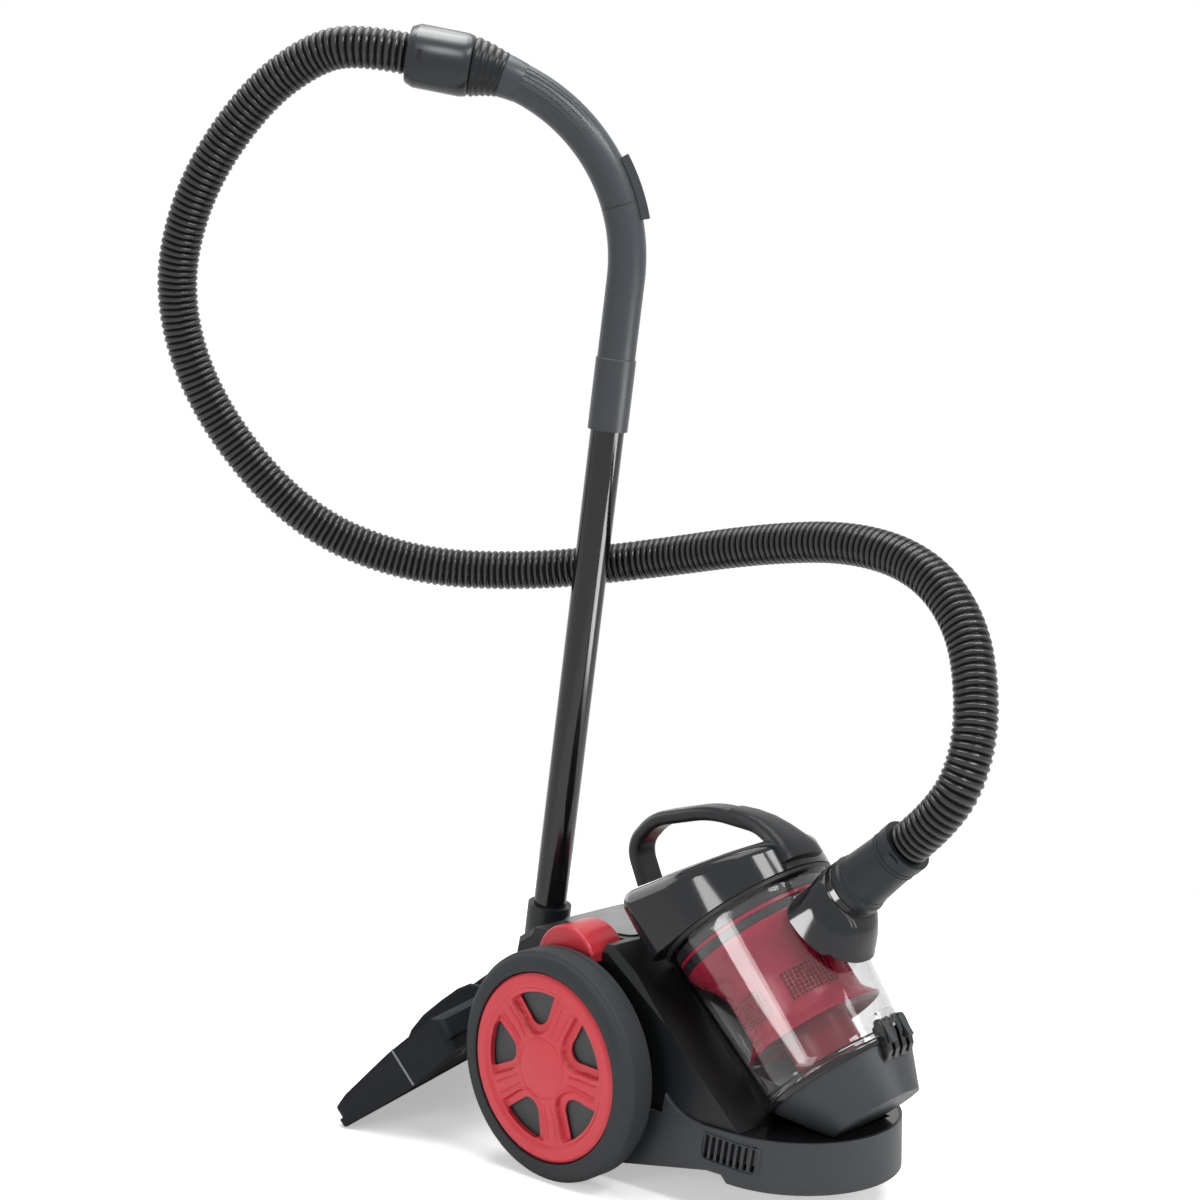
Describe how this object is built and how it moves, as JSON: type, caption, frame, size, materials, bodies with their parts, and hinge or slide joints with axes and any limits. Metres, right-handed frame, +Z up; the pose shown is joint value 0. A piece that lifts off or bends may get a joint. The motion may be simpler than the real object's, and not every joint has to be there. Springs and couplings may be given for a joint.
{
  "type": "canister vacuum cleaner",
  "caption": "Bagless canister vacuum with a tilted clear dust cup, large spoked rear wheels, a ribbed hose and a wand parked upright with its floor head.",
  "frame": {"origin": "on the floor below the middle of the rear wheel axis", "axes": "+X to the nose, +Y to the machine's left, +Z up"},
  "size_m": [0.7624, 0.4006, 1.021],
  "materials": {
    "housing_charcoal": "satin moulded",
    "lid_charcoal": "glossy moulded",
    "black_gloss": "glossy",
    "red_plastic": "satin red",
    "cyclone_red": "translucent look",
    "tyre_grey": "matt",
    "core_dark": "matt",
    "clear_cup": "clear",
    "mesh_steel": "woven",
    "filter_paper": "pleated",
    "foam_grey": "open cell",
    "seal_black": "matt",
    "steel": "turned",
    "wand_black": "glossy",
    "hose_black": "glossy ribbed",
    "grip_satin": "satin",
    "connector_grey": "matt",
    "motor_metal": "cast",
    "motor_plastic": "moulded",
    "spring_steel": "wire",
    "brush_black": "bristle strip"
  },
  "bodies": {
    "chassis": {"lower_housing": "housing_charcoal", "upper_housing": "housing_charcoal", "cup_seat": "black_gloss", "rear_cover": "lid_charcoal", "exhaust_filter": "foam_grey", "cord_outlet": "seal_black", "parking_bracket": "housing_charcoal", "right_axle": "steel", "left_axle": "steel", "right_pedal_spring": "spring_steel", "left_pedal_spring": "spring_steel", "power_switch": "core_dark", "motor_casing": "motor_metal", "motor_mounts": "seal_black", "pre_motor_filter": "foam_grey", "reel_stand": "core_dark", "hose": "hose_black"},
    "right_wheel": {"right_tyre": "tyre_grey", "right_wheel_core": "core_dark", "right_hub_cap": "red_plastic"},
    "left_wheel": {"left_tyre": "tyre_grey", "left_wheel_core": "core_dark", "left_hub_cap": "red_plastic"},
    "power_pedal": {"right_pedal": "red_plastic"},
    "rewind_pedal": {"left_pedal": "red_plastic"},
    "rotor": {"motor_fan": "motor_plastic"},
    "reel": {"cord_reel": "core_dark"},
    "caster": {"caster_fork": "connector_grey", "caster_axle": "steel"},
    "caster_roll": {"caster_wheel": "core_dark"},
    "dust_bin": {"dust_cup": "clear_cup", "cyclone_body": "cyclone_red", "cyclone_mesh": "mesh_steel", "cyclone_cone": "cyclone_red", "pleated_filter": "filter_paper", "lid_seal": "seal_black", "cup_lid": "lid_charcoal", "carry_handle": "black_gloss", "inlet_elbow": "lid_charcoal", "bottom_flap": "housing_charcoal", "flap_pin": "steel", "flap_seal": "seal_black", "flap_latch": "housing_charcoal"},
    "bin_button": {"release_button": "lid_charcoal"},
    "connector": {"hose_connector": "connector_grey"},
    "wand": {"wand_tube": "wand_black", "neck": "wand_black", "grip": "grip_satin", "cuff_collar": "hose_black"},
    "valve": {"air_slider": "grip_satin"},
    "cuff": {"hose_cuff": "grip_satin"},
    "floor_head": {"head_shell": "housing_charcoal", "sole_plate": "black_gloss", "neck_pin": "steel"},
    "rocker": {"head_pedal": "lid_charcoal"},
    "brush": {"head_brush": "brush_black"},
    "roller_right": {"right_roller": "connector_grey"},
    "roller_left": {"left_roller": "connector_grey"}
  },
  "joints": [
    {"name": "right_wheel_spin", "type": "hinge", "parent": "chassis", "child": "right_wheel", "pos_m": [0, -0.121, 0.103], "axis": [0, 1, 0], "continuous": true},
    {"name": "left_wheel_spin", "type": "hinge", "parent": "chassis", "child": "left_wheel", "pos_m": [0, 0.121, 0.103], "axis": [0, 1, 0], "continuous": true},
    {"name": "caster_swivel", "type": "hinge", "parent": "chassis", "child": "caster", "pos_m": [0.195, 0, 0.03], "axis": [0, 0, 1], "continuous": true},
    {"name": "caster_wheel_spin", "type": "hinge", "parent": "caster", "child": "caster_roll", "pos_m": [0.183, 0, 0.0125], "axis": [0, 1, 0], "continuous": true},
    {"name": "power_pedal_press", "type": "slide", "parent": "chassis", "child": "power_pedal", "axis": [0, 0, -1], "range_m": [0, 0.006], "stiffness_N_per_m": 900, "springref_m": -0.003, "deforming": ["right_pedal_spring"]},
    {"name": "rewind_pedal_press", "type": "slide", "parent": "chassis", "child": "rewind_pedal", "axis": [0, 0, -1], "range_m": [0, 0.006], "stiffness_N_per_m": 900, "springref_m": -0.003, "deforming": ["left_pedal_spring"]},
    {"name": "motor_spin", "type": "hinge", "parent": "chassis", "child": "rotor", "pos_m": [0, -0.028, 0.108], "axis": [1, 0, 0], "continuous": true},
    {"name": "reel_spin", "type": "hinge", "parent": "chassis", "child": "reel", "pos_m": [-0.025, 0.04, 0.112], "axis": [0, 1, 0], "continuous": true},
    {"name": "bin_lift", "type": "slide", "parent": "chassis", "child": "dust_bin", "axis": [-0.6361, 0, 0.7716], "range_m": [0, 0.07], "deforming": ["hose"]},
    {"name": "bin_button_press", "type": "slide", "parent": "dust_bin", "child": "bin_button", "axis": [0.4226, 0, -0.9063], "range_m": [0, 0.003], "stiffness_N_per_m": 700, "springref_m": -0.002},
    {"name": "connector_swivel", "type": "hinge", "parent": "dust_bin", "child": "connector", "pos_m": [0.25651, 0, 0.29502], "axis": [0.7716, 0, 0.6361], "continuous": true},
    {"name": "wand_lift", "type": "slide", "parent": "chassis", "child": "wand", "axis": [0.1638, 0, 0.9865], "range_m": [0, 0.06], "deforming": ["hose"]},
    {"name": "cuff_swivel", "type": "hinge", "parent": "wand", "child": "cuff", "pos_m": [-0.13238, -0.12758, 0.98958], "axis": [-0.7083, -0.6803, 0.1883], "continuous": true},
    {"name": "air_valve_slide", "type": "hinge", "parent": "wand", "child": "valve", "pos_m": [-0.14818, -0.11594, 0.81825], "axis": [-0.6728, 0.7314, 0.1117], "range_deg": [0, 6]},
    {"name": "head_tilt", "type": "hinge", "parent": "wand", "child": "floor_head", "pos_m": [-0.1865, -0.0164, 0.1], "axis": [-0.2924, 0.9563, 0], "range_deg": [0, 45]},
    {"name": "rocker_press", "type": "hinge", "parent": "floor_head", "child": "rocker", "pos_m": [-0.23499, -0.03122, 0.06419], "axis": [0.2924, -0.9563, 0], "range_deg": [0, 8]},
    {"name": "brush_drop", "type": "slide", "parent": "floor_head", "child": "brush", "axis": [0.5888, 0.18, -0.788], "range_m": [0, 0.004]},
    {"name": "right_roller_spin", "type": "hinge", "parent": "floor_head", "child": "roller_right", "pos_m": [-0.20103, 0.0785, 0.08227], "axis": [0.2924, -0.9563, 0], "continuous": true},
    {"name": "left_roller_spin", "type": "hinge", "parent": "floor_head", "child": "roller_left", "pos_m": [-0.14548, -0.1032, 0.08227], "axis": [0.2924, -0.9563, 0], "continuous": true}
  ],
  "couplings": [
    {"joint": "brush_drop", "follows": "rocker_press", "m_per_rad": 0.02862}
  ]
}
